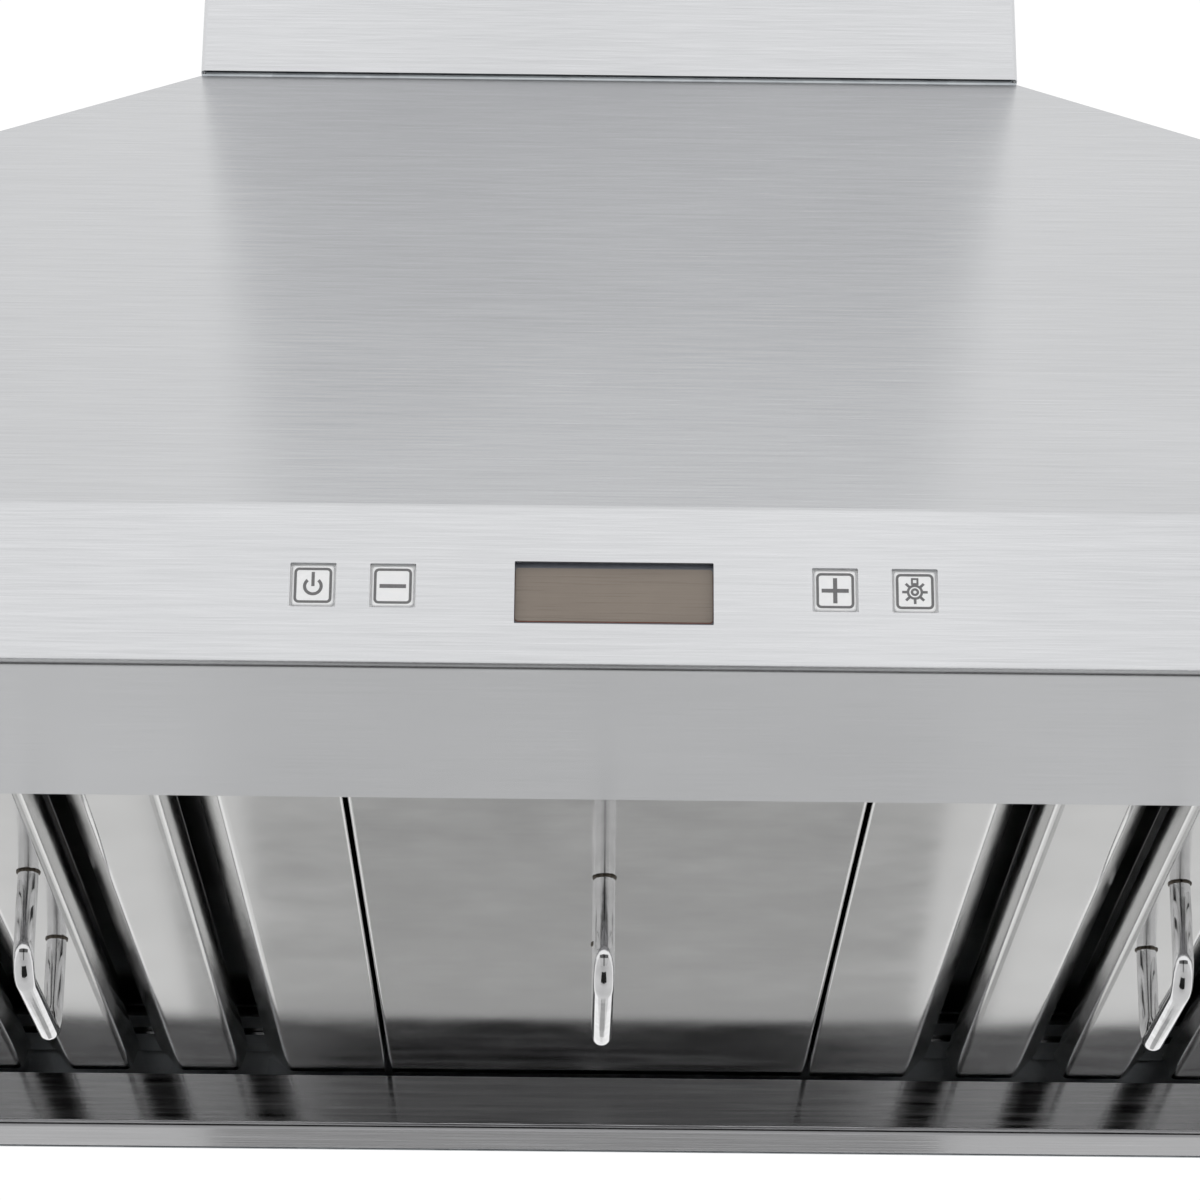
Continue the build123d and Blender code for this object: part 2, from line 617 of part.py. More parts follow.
def lower_baffles(x):
    """Five lower baffles: two edge strips and three flared channels."""
    corner = first_slot() - BAFFLE_SLOT / 2 - SHORT_FLANGE[0]
    channels = [baffle_section(corner - BAFFLE_PITCH * n) for n in range(3)]
    return filter_pieces([outer_strip_section(), *channels, inner_strip_section()], x)


def upper_baffles(x):
    """Four inverted channels over the slots between the lower baffles."""
    foot = FRAME_BASE + FRAME_BAR + 0.5
    path = [(14, foot), (10, UPPER_BAFFLE_TOP), (-10, UPPER_BAFFLE_TOP), (-14, foot)]
    section = folded_sheet(path, thickness=FILTER_SHEET, bend=0.8)
    return filter_pieces([Pos(first_slot() - BAFFLE_PITCH * n, 0) * section for n in range(4)], x)


def frame_bars(width):
    """End bars that tie the baffles together, and overhang to rest on the rails."""
    half = width / 2
    height = (FRAME_BASE, FRAME_BASE + FRAME_BAR)
    spans = ((-FILTER_LENGTH - FRONT_OVERHANG, 17 - FILTER_LENGTH), (-18, REAR_OVERHANG))
    return [block((-half, half), span, height) for span in spans]


def filter_frame(x):
    return group(set_in_plane(bar, x) for bar in frame_bars(FILTER_WIDTH))


def bail_handle(x):
    """Bent round rod with a small weld collar at each leg."""
    path = FilletPolyline(
        (0, HANDLE_FRONT, 0),
        (0, HANDLE_FRONT, -HANDLE_DROP),
        (0, HANDLE_REAR, -HANDLE_DROP),
        (0, HANDLE_REAR, 0),
        radius=HANDLE_BEND,
    )
    rod = sweep(Pos(0, HANDLE_FRONT, 0) * Circle(HANDLE_ROD), path=path)
    for y in (HANDLE_FRONT, HANDLE_REAR):
        rod += Pos(0, y, -0.6) * Cone(HANDLE_ROD + 0.2, HANDLE_ROD + 0.9, 1.2)
    return set_in_plane(rod, x)


def filler_panel():
    """Plain centre panel with two side flanges and the same cross bars as a filter."""
    half = FILLER_WIDTH / 2
    path = [(-half, FRAME_BASE), (-half, 0), (half, 0), (half, FRAME_BASE)]
    panel = extrude_y(folded_sheet(path, thickness=FILTER_SHEET, bend=0.8), -FILTER_LENGTH, 0)
    for bar in frame_bars(FILLER_WIDTH):
        panel += bar
    return set_in_plane(panel, 0)


# ---- every node ---------------------------------------------------------------------------------
def nodes():
    front = canopy_front()
    left = canopy_side_left(front)
    cover_inset = COVER_SKIN + COVER_CLEARANCE
    bracket_screws = [(side * (HALF_CHIMNEY - cover_inset), -42.0) for side in (-1, 1)]
    rear_knuckles = ((-90, -60), (-20, 20), (60, 90))
    front_knuckles = ((-58, -22), (22, 58))
    made = {
        "canopy_front": front,
        "canopy_side_left": left,
        "canopy_side_right": mirrored(left),
        "back_panel": back_panel(),
        "roof_plate": roof_plate(),
        "front_rail": front_rail(),
        "rear_gutter": rear_gutter(),
        "rear_shelf": rear_shelf(),
        "chimney_lower": chimney_lower(),
        "chimney_upper": chimney_upper(),
        "chimney_bracket": chimney_bracket(),
        "chimney_screws": side_screws(chimney_screw_places(), CHIMNEY_SCREW_Z),
        "bracket_screws": side_screws(bracket_screws, BRACKET_Z),
        "duct_collar": duct_collar(),
        "damper_pin": damper_pin(),
        "damper_flap_front": damper_flap(-1, front_knuckles),
        "damper_flap_rear": damper_flap(1, rear_knuckles),
        "blower_housing": blower_housing(),
        "inlet_rings": inlet_rings(),
        "impeller": impeller(),
        "motor_shaft": motor_shaft(),
        "blower_motor": blower_motor(),
        "motor_bracket": motor_bracket(),
        "control_housing": control_housing(),
        "control_board": control_board(),
        "display_module": display_module(),
        "display_window": display_window(),
        "power_box": power_box(),
        "power_box_lid": power_box_lid(),
        "cable_gland": cable_gland(),
        "filler_panel": filler_panel(),
        "filler_handle": bail_handle(0),
    }
    for name, x in KEYS.items():
        made[name] = key(x)
    for number, x in enumerate(lamp_places(), start=1):
        made[f"lamp_{number}_housing"] = lamp_housing(x)
        made[f"lamp_{number}_lens"] = lamp_lens(x)
    for name, x in FILTERS.items():
        made[f"{name}_lower_baffles"] = lower_baffles(x)
        made[f"{name}_upper_baffles"] = upper_baffles(x)
        made[f"{name}_frame"] = filter_frame(x)
        made[f"{name}_handle"] = bail_handle(x)
    return made


os.makedirs("parts", exist_ok=True)
for name, shape in nodes().items():
    export_step(shape, f"parts/{name}.step")
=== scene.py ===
import json
import math

import bpy
from mathutils import Matrix, Vector


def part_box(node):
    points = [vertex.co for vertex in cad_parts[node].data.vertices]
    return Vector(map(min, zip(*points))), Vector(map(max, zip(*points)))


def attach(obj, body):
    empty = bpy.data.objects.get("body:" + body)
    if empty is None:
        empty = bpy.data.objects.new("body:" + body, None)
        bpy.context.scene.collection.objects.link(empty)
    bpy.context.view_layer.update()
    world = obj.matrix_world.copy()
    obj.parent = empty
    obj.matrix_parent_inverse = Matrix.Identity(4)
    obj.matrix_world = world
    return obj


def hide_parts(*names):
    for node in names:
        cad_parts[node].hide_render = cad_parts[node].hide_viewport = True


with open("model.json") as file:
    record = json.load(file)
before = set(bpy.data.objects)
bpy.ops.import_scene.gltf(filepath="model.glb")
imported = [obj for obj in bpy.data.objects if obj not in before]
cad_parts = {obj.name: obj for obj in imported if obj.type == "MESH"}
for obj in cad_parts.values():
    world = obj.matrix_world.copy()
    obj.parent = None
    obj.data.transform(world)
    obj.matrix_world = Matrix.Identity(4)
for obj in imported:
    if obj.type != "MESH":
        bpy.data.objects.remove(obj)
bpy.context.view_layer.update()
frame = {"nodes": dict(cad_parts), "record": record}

MM = 0.001
TOUCHING = 0.01 * MM
NODES = frame["nodes"]

# ---- names and places ---------------------------------------------------------------------------
FILTERS = ("filter_left_outer", "filter_left_inner", "filter_right_inner", "filter_right_outer")
PANELS = ("filler", *FILTERS)
FLOOR_LEVEL = -1.6


def middle(node):
    low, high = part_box(node)
    return (low + high) / 2


# ---- camera, light and floor --------------------------------------------------------------------
def make_camera():
    """A long lens that looks up at the control band from below and in front."""
    pitch, yaw, roll = 0.3842, -0.0072, 0.0079
    ahead = Vector((-math.sin(yaw) * math.cos(pitch), math.cos(yaw) * math.cos(pitch), math.sin(pitch)))
    level = Vector((math.cos(yaw), math.sin(yaw), 0))
    upright = level.cross(ahead)
    right = level * math.cos(roll) + upright * math.sin(roll)
    up = upright * math.cos(roll) - level * math.sin(roll)
    data = bpy.data.cameras.new("camera")
    data.lens = 122.77
    data.sensor_width = 36
    data.clip_start = 0.05
    data.clip_end = 100
    camera = bpy.data.objects.new("camera", data)
    bpy.context.scene.collection.objects.link(camera)
    turn = Matrix((right, up, -ahead)).transposed().to_4x4()
    camera.matrix_world = Matrix.Translation((-0.01292, -1.78639, -0.45636)) @ turn
    bpy.context.scene.camera = camera


def stage_card(name, corners, material):
    """A flat staged surface from its four corners."""
    mesh = bpy.data.meshes.new(name)
    mesh.from_pydata(corners, [], [(0, 1, 2, 3)])
    card = bpy.data.objects.new(name, mesh)
    bpy.context.scene.collection.objects.link(card)
    mesh.materials.append(material)
    return card


def make_sky(world):
    """White all round, a little dimmer overhead and brighter in front, as from soft boxes beside the camera."""
    tree = world.node_tree
    direction = add_node(tree, "ShaderNodeTexCoord").outputs["Generated"]
    split = add_node(tree, "ShaderNodeSeparateXYZ", [("Vector", direction)])
    rising = [("From Min", 0.55), ("From Max", 0.85), ("To Min", 1.03), ("To Max", 0.94)]
    height = add_node(
        tree,
        "ShaderNodeMapRange",
        [("Value", split.outputs["Z"]), *rising],
        interpolation_type="SMOOTHSTEP",
    )
    forward = [("From Min", -0.5), ("From Max", -0.95), ("To Min", 0.0), ("To Max", 0.09)]
    ahead = add_node(
        tree,
        "ShaderNodeMapRange",
        [("Value", split.outputs["Y"]), *forward],
        interpolation_type="SMOOTHSTEP",
    )
    total = add_node(
        tree, "ShaderNodeMath", [(0, height.outputs[0]), (1, ahead.outputs[0])], operation="ADD"
    )
    backdrop = tree.nodes["Background"]
    backdrop.inputs["Color"].default_value = (1, 1, 1, 1)
    tree.links.new(total.outputs[0], backdrop.inputs["Strength"])


def upright_card(name, half, distance, low, high, material):
    """An upright staged card across the view, which shows only in reflections."""
    corners = [(-half, distance, low), (half, distance, low), (half, distance, high), (-half, distance, high)]
    stage_card(name, corners, material).visible_camera = False


def make_studio(floor_material, black, dark, grey, mid, pale):
    """White surroundings, a pale floor, and the cards that the bright steel mirrors from below."""
    scene = bpy.context.scene
    scene.view_settings.view_transform = "Standard"
    scene.world = bpy.data.worlds.new("studio")
    scene.world.use_nodes = True
    make_sky(scene.world)
    reach = 9.0
    floor = [(-reach, -reach), (reach, -reach), (reach, reach), (-reach, reach)]
    stage_card("floor", [(x, y, FLOOR_LEVEL) for x, y in floor], floor_material)
    # In front, a wide card stands behind a narrow darker flag, and both change tone at the seam.
    wide, seam, top = 2.2, -0.6, -0.22
    upright_card("front_low_card", wide, -2.32, FLOOR_LEVEL, seam, pale)
    upright_card("front_low_flag", 0.28, -2.31, FLOOR_LEVEL, seam, grey)
    upright_card("front_card", wide, -2.3, seam, top, dark)
    upright_card("front_flag", 0.25, -2.29, seam, top, black)
    upright_card("rear_card", 0.62, 5.0, FLOOR_LEVEL, -0.85, mid)
    half, front, rear, level = 0.6, -1.2, -0.3, -1.3
    cloth = [(-half, front, level), (half, front, level), (half, rear, level), (-half, rear, level)]
    stage_card("under_cloth", cloth, black).visible_camera = False


# ---- material helpers ---------------------------------------------------------------------------
def linear(hex_colour):
    """An sRGB hex colour as linear RGBA."""
    channels = [int(hex_colour[i : i + 2], 16) / 255 for i in (1, 3, 5)]
    return tuple(c / 12.92 if c <= 0.04045 else ((c + 0.055) / 1.055) ** 2.4 for c in channels) + (1.0,)


def add_node(tree, kind, inputs=(), **settings):
    """Adds one shader node with its settings, and plugs or sets its inputs: (socket, value or output)."""
    node = tree.nodes.new(kind)
    for name, value in settings.items():
        setattr(node, name, value)
    for socket, value in inputs:
        if isinstance(value, bpy.types.NodeSocket):
            tree.links.new(value, node.inputs[socket])
        else:
            node.inputs[socket].default_value = value
    return node


def new_material(name, metallic=0.0, roughness=0.5, **constants):
    """A named material, its node tree and its surface shader, with constants on the shader's own sockets."""
    material = bpy.data.materials.new(name)
    material.use_nodes = True
    surface = material.node_tree.nodes["Principled BSDF"]
    surface.inputs["Metallic"].default_value = metallic
    surface.inputs["Roughness"].default_value = roughness
    for socket, value in constants.items():
        surface.inputs[socket.replace("_", " ")].default_value = value
    return material, material.node_tree, surface


def two_tone(tree, amount, dark, light, low=0.3, high=0.7):
    """Colour that runs from dark to light as amount goes from low to high."""
    ramp = add_node(tree, "ShaderNodeValToRGB", [("Fac", amount)])
    ramp.color_ramp.elements[0].position = low
    ramp.color_ramp.elements[0].color = linear(dark)
    ramp.color_ramp.elements[1].position = high
    ramp.color_ramp.elements[1].color = linear(light)
    return ramp.outputs["Color"]


def rescaled(tree, amount, low, high):
    """amount's 0.3 to 0.7, where most noise lies, spread over low to high."""
    spread = add_node(
        tree,
        "ShaderNodeMapRange",
        [("Value", amount), ("From Min", 0.3), ("From Max", 0.7), ("To Min", low), ("To Max", high)],
    )
    return spread.outputs["Result"]


def blended(tree, first, second, share):
    """A mix of two amounts, with share of the second."""
    mix = add_node(tree, "ShaderNodeMix", [("Factor", share), ("A", first), ("B", second)])
    return mix.outputs["Result"]


def put(tree, surface, socket, output):
    """Plugs an output into one of the surface shader's sockets."""
    tree.links.new(output, surface.inputs[socket])


def object_place(tree):
    return add_node(tree, "ShaderNodeTexCoord").outputs["Object"]


def clouds(tree, place, size, detail=2.0):
    """Soft noise whose patches are about size metres across."""
    noise = add_node(tree, "ShaderNodeTexNoise", [("Vector", place), ("Scale", 1 / size), ("Detail", detail)])
    return noise.outputs["Fac"]


def bumped(tree, surface, height, depth):
    """Relief from height, depth metres deep."""
    bump = add_node(tree, "ShaderNodeBump", [("Height", height), ("Distance", depth), ("Strength", 1.0)])
    put(tree, surface, "Normal", bump.outputs["Normal"])


def level_direction(tree):
    """The level direction within a surface: along X on the front, slope and lip, along Y on the sides."""
    normal = add_node(tree, "ShaderNodeNewGeometry").outputs["Normal"]
    across = add_node(
        tree, "ShaderNodeVectorMath", [(0, normal), (1, (0.0, 0.04, 1.0))], operation="CROSS_PRODUCT"
    )
    return add_node(tree, "ShaderNodeVectorMath", [(0, across.outputs[0])], operation="NORMALIZE").outputs[0]


def brush_place(tree, level, line, length):
    """Object place squeezed so that a noise cell is one brush line: line wide and length long, in metres."""
    place = object_place(tree)
    along = add_node(tree, "ShaderNodeVectorMath", [(0, place), (1, level)], operation="DOT_PRODUCT")
    drawn = add_node(
        tree,
        "ShaderNodeMath",
        [(0, along.outputs["Value"]), (1, 1 / length - 1 / line)],
        operation="MULTIPLY",
    )
    pulled = add_node(
        tree, "ShaderNodeVectorMath", [(0, level), ("Scale", drawn.outputs[0])], operation="SCALE"
    )
    squeezed = add_node(tree, "ShaderNodeVectorMath", [(0, place), ("Scale", 1 / line)], operation="SCALE")
    summed = add_node(
        tree, "ShaderNodeVectorMath", [(0, squeezed.outputs[0]), (1, pulled.outputs[0])], operation="ADD"
    )
    return summed.outputs[0]


def brush_noise(tree, place, detail):
    noise = add_node(tree, "ShaderNodeTexNoise", [("Vector", place), ("Scale", 1.0), ("Detail", detail)])
    return noise.outputs["Fac"]


# ---- finishes -----------------------------------------------------------------------------------
def brushed_stainless():
    """Stainless sheet brushed level with a 240 grit belt: fine pale and dark lines, and a reflection that
    is smeared up and down but keeps its upright edges. Real lines are about 0.1 mm wide; these are drawn
    0.35 mm wide, so that they show."""
    material, tree, surface = new_material(
        "brushed stainless sheet", 1.0, 0.3, Anisotropic=0.8, Anisotropic_Rotation=0.25
    )
    level = level_direction(tree)
    fine = brush_noise(tree, brush_place(tree, level, 0.35 * MM, 22 * MM), 2.0)
    coarse = brush_noise(tree, brush_place(tree, level, 1.1 * MM, 60 * MM), 1.0)
    lines = blended(tree, fine, coarse, 0.4)
    patches = clouds(tree, object_place(tree), 0.16)
    tone = blended(tree, lines, patches, 0.3)
    put(tree, surface, "Base Color", two_tone(tree, tone, "#C4C5C7", "#DCDDDF"))
    put(tree, surface, "Roughness", rescaled(tree, tone, 0.20, 0.28))
    put(tree, surface, "Tangent", level)
    bumped(tree, surface, lines, 0.000005)
    return material


def rail_stainless():
    """Cold-rolled stainless strip: grey and half-bright, with long rolling streaks that smear reflections."""
    material, tree, surface = new_material("cold-rolled stainless strip", 1.0, 0.2)
    level = level_direction(tree)
    streaks = brush_noise(tree, brush_place(tree, level, 2.0 * MM, 90 * MM), 3.0)
    fine = brush_noise(tree, brush_place(tree, level, 0.4 * MM, 30 * MM), 1.0)
    tone = blended(tree, streaks, fine, 0.4)
    put(tree, surface, "Base Color", two_tone(tree, tone, "#9C9C9E", "#B8B8BA"))
    put(tree, surface, "Roughness", rescaled(tree, streaks, 0.06, 0.18))
    bumped(tree, surface, tone, 0.00003)
    return material


def bright_rolled(name, dark, light, roughness):
    """Bright-rolled stainless: a soft mirror, cloudy from handling, with faint rolling lines."""
    material, tree, surface = new_material(name, 1.0, 0.08)
    level = level_direction(tree)
    lines = brush_noise(tree, brush_place(tree, level, 0.5 * MM, 25 * MM), 1.0)
    smudges = clouds(tree, object_place(tree), 0.035, 4.0)
    tone = blended(tree, lines, smudges, 0.6)
    put(tree, surface, "Base Color", two_tone(tree, tone, dark, light))
    put(tree, surface, "Roughness", rescaled(tree, smudges, *roughness))
    bumped(tree, surface, smudges, 0.00002)
    return material


def filter_stainless():
    """The filters' lower baffles: bright enough to mirror the handles and the gutter."""
    return bright_rolled("bright-rolled stainless", "#CECECD", "#DCDCDB", (0.11, 0.16))


def filler_stainless():
    """The plain centre panel: the same sheet, a shade duller."""
    return bright_rolled("bright-rolled stainless panel", "#CACAC9", "#D8D8D7", (0.07, 0.12))


def gap_shade_stainless():
    """The upper baffles and end bars: stainless painted dark grey and dull beside the polished faces, as
    painted shade that makes the gaps between the channels read black.
    """
    return bright_rolled("stainless darkened for painted gap shade", "#787878", "#8E8E8E", (0.16, 0.24))


def polished_rod():
    """Polished stainless rod: a clear mirror with the faint ripple that bending and buffing leave."""
    material, tree, surface = new_material("polished stainless rod", 1.0, 0.06)
    ripple = clouds(tree, object_place(tree), 0.006)
    put(tree, surface, "Base Color", two_tone(tree, ripple, "#D3D3D4", "#E2E2E3"))
    put(tree, surface, "Roughness", rescaled(tree, ripple, 0.04, 0.10))
    bumped(tree, surface, ripple, 0.00004)
    return material


def weld_scale():
    """Heat-darkened bead where a rod is welded on: straw to brown-grey, dull and lumpy."""
    material, tree, surface = new_material("weld scale", 1.0, 0.45)
    lumps = clouds(tree, object_place(tree), 0.0012, 3.0)
    put(tree, surface, "Base Color", two_tone(tree, lumps, "#26231F", "#6E675E"))
    put(tree, surface, "Roughness", rescaled(tree, lumps, 0.35, 0.6))
    bumped(tree, surface, lumps, 0.0002)
    return material


def galvanised_steel():
    """Hot-dip galvanised sheet: grey crystals (spangle) about 12 mm across, each its own shade and gloss."""
    material, tree, surface = new_material("galvanised sheet", 1.0, 0.4)
    place = object_place(tree)
    crystals = add_node(tree, "ShaderNodeTexVoronoi", [("Vector", place), ("Scale", 1 / 0.012)], feature="F1")
    shade = add_node(tree, "ShaderNodeSeparateColor", [("Color", crystals.outputs["Color"])]).outputs["Red"]
    dull = clouds(tree, place, 0.003, 3.0)
    tone = blended(tree, shade, dull, 0.4)
    put(tree, surface, "Base Color", two_tone(tree, tone, "#A2A7AB", "#C2C7CA", 0.1, 0.9))
    put(tree, surface, "Roughness", rescaled(tree, tone, 0.34, 0.46))
    bumped(tree, surface, dull, 0.00003)
    return material


def bezel_steel():
    """Satin pressed bezel: even fine grain with a soft edge highlight."""
    material, tree, surface = new_material("satin pressed steel", 1.0, 0.28)
    grain = clouds(tree, object_place(tree), 0.0006)
    put(tree, surface, "Base Color", two_tone(tree, grain, "#C4C5C8", "#D8D9DB"))
    put(tree, surface, "Roughness", rescaled(tree, grain, 0.22, 0.34))
    bumped(tree, surface, grain, 0.00001)
    return material


def damper_aluminium():
    """Mill-finish aluminium sheet: pale grey with straight rolling lines and light scuffs."""
    material, tree, surface = new_material("mill-finish aluminium", 1.0, 0.35)
    place = object_place(tree)
    drawn = add_node(tree, "ShaderNodeMapping", [("Vector", place), ("Scale", (40.0, 1400.0, 1400.0))])
    lines = brush_noise(tree, drawn.outputs[0], 2.0)
    scuffs = clouds(tree, place, 0.02, 4.0)
    tone = blended(tree, lines, scuffs, 0.5)
    put(tree, surface, "Base Color", two_tone(tree, tone, "#C0C3C6", "#DBDDDF"))
    put(tree, surface, "Roughness", rescaled(tree, scuffs, 0.28, 0.44))
    bumped(tree, surface, lines, 0.00001)
    return material


def bright_steel():
    """Zinc-plated screws and pins: bright with a bluish cast and small dull spots."""
    material, tree, surface = new_material("bright zinc plate", 1.0, 0.22)
    spots = clouds(tree, object_place(tree), 0.0015, 3.0)
    put(tree, surface, "Base Color", two_tone(tree, spots, "#AEB4BA", "#D0D5DA"))
    put(tree, surface, "Roughness", rescaled(tree, spots, 0.16, 0.3))
    bumped(tree, surface, spots, 0.00002)
    return material


def motor_enamel():
    """Baked black enamel on the motor: satin gloss with orange peel."""
    material, tree, surface = new_material("baked black enamel", 0.0, 0.35, IOR=1.5)
    peel = clouds(tree, object_place(tree), 0.0018)
    put(tree, surface, "Base Color", two_tone(tree, peel, "#161718", "#232425"))
    put(tree, surface, "Roughness", rescaled(tree, peel, 0.3, 0.42))
    bumped(tree, surface, peel, 0.00006)
    return material


def moulded_black():
    """Moulded black ABS: matt, with a fine spark-eroded texture."""
    material, tree, surface = new_material("moulded black ABS", 0.0, 0.55, IOR=1.46)
    grain = clouds(tree, object_place(tree), 0.0007, 3.0)
    put(tree, surface, "Base Color", two_tone(tree, grain, "#121314", "#1E1F21"))
    put(tree, surface, "Roughness", rescaled(tree, grain, 0.5, 0.65))
    bumped(tree, surface, grain, 0.00004)
    return material


def circuit_board():
    """Fibreglass board under green solder mask: tracks show as a slightly paler, raised grid."""
    material, tree, surface = new_material("green solder mask", 0.0, 0.3, IOR=1.5)
    place = object_place(tree)
    grid = [("Scale", 1.0), ("Mortar Size", 0.0004), ("Brick Width", 0.011), ("Row Height", 0.0032)]
    tracks = add_node(tree, "ShaderNodeTexBrick", [("Vector", place), *grid])
    weave = clouds(tree, place, 0.001)
    tone = blended(tree, tracks.outputs["Fac"], weave, 0.4)
    put(tree, surface, "Base Color", two_tone(tree, tone, "#0F4A2C", "#2C7A4B", 0.1, 0.9))
    put(tree, surface, "Roughness", rescaled(tree, weave, 0.22, 0.38))
    bumped(tree, surface, tone, 0.00003)
    return material


def key_plastic():
    """Glossy white ABS keycap: clean white with a soft rim highlight and a trace of moulding flow."""
    material, tree, surface = new_material("glossy white ABS", 0.0, 0.18, IOR=1.5)
    flow = clouds(tree, object_place(tree), 0.004)
    put(tree, surface, "Base Color", two_tone(tree, flow, "#FAFBFC", "#FFFFFF"))
    put(tree, surface, "Roughness", rescaled(tree, flow, 0.14, 0.24))
    bumped(tree, surface, flow, 0.00001)
    return material


def key_ink():
    """Pad-printed grey ink: flat mid grey, slightly mottled where the pad lifted."""
    material, tree, surface = new_material("pad-printed grey ink", 0.0, 0.45, IOR=1.5)
    mottle = clouds(tree, object_place(tree), 0.0004, 3.0)
    put(tree, surface, "Base Color", two_tone(tree, mottle, "#6A6A6B", "#7A7A7B"))
    put(tree, surface, "Roughness", rescaled(tree, mottle, 0.4, 0.55))
    bumped(tree, surface, mottle, 0.000004)
    return material


def smoked_window():
    """Smoked acrylic window: dark blue-grey with a clear gloss."""
    material, tree, surface = new_material("smoked acrylic", 0.0, 0.08, IOR=1.49)
    depth = clouds(tree, object_place(tree), 0.01)
    put(tree, surface, "Base Color", two_tone(tree, depth, "#62656C", "#6E7179"))
    put(tree, surface, "Roughness", rescaled(tree, depth, 0.06, 0.12))
    bumped(tree, surface, depth, 0.000004)
    return material


def display_film():
    """Brown protective film over the window: warm grey-brown with faint level wipe marks."""
    material, tree, surface = new_material("brown protective film", 0.0, 0.3, IOR=1.45)
    level = level_direction(tree)
    wipes = brush_noise(tree, brush_place(tree, level, 0.45 * MM, 26 * MM), 2.0)
    broad = clouds(tree, object_place(tree), 0.02)
    tone = blended(tree, wipes, broad, 0.4)
    put(tree, surface, "Base Color", two_tone(tree, tone, "#84796F", "#90857A"))
    put(tree, surface, "Roughness", rescaled(tree, wipes, 0.25, 0.38))
    bumped(tree, surface, wipes, 0.000004)
    return material


def rust_adhesive():
    """Rust-red adhesive under the film, which shows as a thin line at its lower edge."""
    material, tree, surface = new_material("rust-red adhesive", 0.0, 0.5, IOR=1.45)
    uneven = clouds(tree, object_place(tree), 0.0008, 3.0)
    put(tree, surface, "Base Color", two_tone(tree, uneven, "#6B3421", "#8A4A33"))
    put(tree, surface, "Roughness", rescaled(tree, uneven, 0.4, 0.6))
    bumped(tree, surface, uneven, 0.00001)
    return material


def frosted_lens():
    """Frosted polycarbonate lens: milky, with moulded rings that catch a soft highlight."""
    material, tree, surface = new_material("frosted polycarbonate", 0.0, 0.4, IOR=1.58)
    haze = clouds(tree, object_place(tree), 0.002, 3.0)
    put(tree, surface, "Base Color", two_tone(tree, haze, "#E4E4DD", "#F1F1EC"))
    put(tree, surface, "Roughness", rescaled(tree, haze, 0.32, 0.5))
    bumped(tree, surface, haze, 0.00002)
    return material


def plain_stage(name, colour, roughness):
    """A plain matt finish for the floor and the cards, which aren't part of the hood."""
    material, _, surface = new_material(name, 0.0, roughness)
    surface.inputs["Base Color"].default_value = linear(colour)
    return material


FINISHES = {
    "brushed_stainless": brushed_stainless(),
    "rail_stainless": rail_stainless(),
    "filter_stainless": filter_stainless(),
    "polished_rod": polished_rod(),
    "galvanised_steel": galvanised_steel(),
    "bezel_steel": bezel_steel(),
    "damper_aluminium": damper_aluminium(),
    "bright_steel": bright_steel(),
    "motor_black": motor_enamel(),
    "black_plastic": moulded_black(),
    "circuit_board": circuit_board(),
    "key_white": key_plastic(),
    "tinted_window": smoked_window(),
    "lamp_lens": frosted_lens(),
}
OWN_FINISH = {"filler_panel": filler_stainless()}
# Dark grey steel that paints the shade inside the gaps between the filter channels.
GAP_SHADE_STEEL = gap_shade_stainless()
INK = key_ink()
FILM = display_film()
ADHESIVE = rust_adhesive()
WELD = weld_scale()


def dress_cad_nodes():
    """Gives every CAD node the finish of its material slot; the upper baffles and end bars get the dark grey
    painted-shade steel instead.
    """
    for part in frame["record"]["subparts"]:
        node = NODES[part["node"]]
        finish = OWN_FINISH.get(part["node"], FINISHES[part["material_slot"]])
        # Upper baffles and end bars: dark grey painted shade, so the gaps between the channels read black.
        if part["node"].endswith(("_upper_baffles", "_frame")):
            finish = GAP_SHADE_STEEL
        if not node.material_slots:
            node.data.materials.append(finish)
        for place in node.material_slots:
            place.material = finish


# ---- modelling helpers --------------------------------------------------------------------------
def select_only(*pieces):
    bpy.ops.object.select_all(action="DESELECT")
    for piece in pieces:
        piece.select_set(True)
    bpy.context.view_layer.objects.active = pieces[0]


def apply_place(piece):
    select_only(piece)
    bpy.ops.object.transform_apply(location=True, rotation=True, scale=True)


def apply_modifier(piece, kind, **settings):
    modifier = piece.modifiers.new(kind.lower(), kind)
    for name, value in settings.items():
        setattr(modifier, name, value)
    select_only(piece)
    bpy.ops.object.modifier_apply(modifier=modifier.name)


def delete_faces(piece, unwanted):
    """Deletes the faces whose centre passes the unwanted test."""
    select_only(piece)
    for face in piece.data.polygons:
        face.select = unwanted(face.center)
    bpy.ops.object.mode_set(mode="EDIT")
    bpy.ops.mesh.delete(type="FACE")
    bpy.ops.object.mode_set(mode="OBJECT")


def upright_plate(centre, size, corner=0.0, turn=0.0):
    """A flat plate facing -Y, turned about Y, with round corners."""
    bpy.ops.object.select_all(action="DESELECT")
    bpy.ops.mesh.primitive_plane_add(size=1, location=centre, rotation=(math.pi / 2, turn, 0))
    plate = bpy.context.object
    plate.scale = (size[0], size[1], 1)
    apply_place(plate)
    if corner:
        bpy.ops.object.mode_set(mode="EDIT")
        bpy.ops.mesh.select_all(action="SELECT")
        bpy.ops.mesh.bevel(offset=corner, segments=6, affect="VERTICES")
        bpy.ops.object.mode_set(mode="OBJECT")
    return plate


def upright_disc(centre, radius):
    """A flat disc facing -Y."""
    bpy.ops.object.select_all(action="DESELECT")
    bpy.ops.mesh.primitive_circle_add(
        vertices=72, radius=radius, fill_type="NGON", location=centre, rotation=(math.pi / 2, 0, 0)
    )
    disc = bpy.context.object
    apply_place(disc)
    return disc


